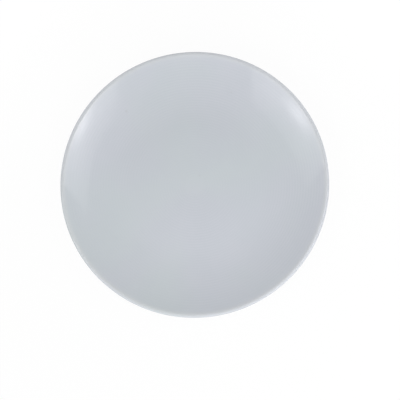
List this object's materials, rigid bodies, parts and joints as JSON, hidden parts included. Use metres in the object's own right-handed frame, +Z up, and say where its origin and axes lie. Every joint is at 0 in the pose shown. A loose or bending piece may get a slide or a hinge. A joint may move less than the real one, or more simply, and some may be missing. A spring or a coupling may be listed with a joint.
{
  "type": "plate",
  "caption": "Round rimless porcelain dinner plate with a flat well, a wall that rises in one soft curve to a rounded lip, a pale blue-grey gloss glaze and a bare foot ring to stand on.",
  "frame": {"origin": "On the plate's axis, at the level of the standing face of the foot ring, which is the table.", "axes": "+Z is up along the plate's axis. The plate is round, so X and Y are any two directions across it; the picture is taken from above and a little towards -Y."},
  "size_m": [0.27, 0.27, 0.026],
  "materials": {
    "bare_porcelain": "matte",
    "pale_glaze": "gloss"
  },
  "bodies": {
    "root": {"porcelain_body": "bare_porcelain", "face_glaze": "pale_glaze", "underside_glaze": "pale_glaze"}
  },
  "joints": []
}
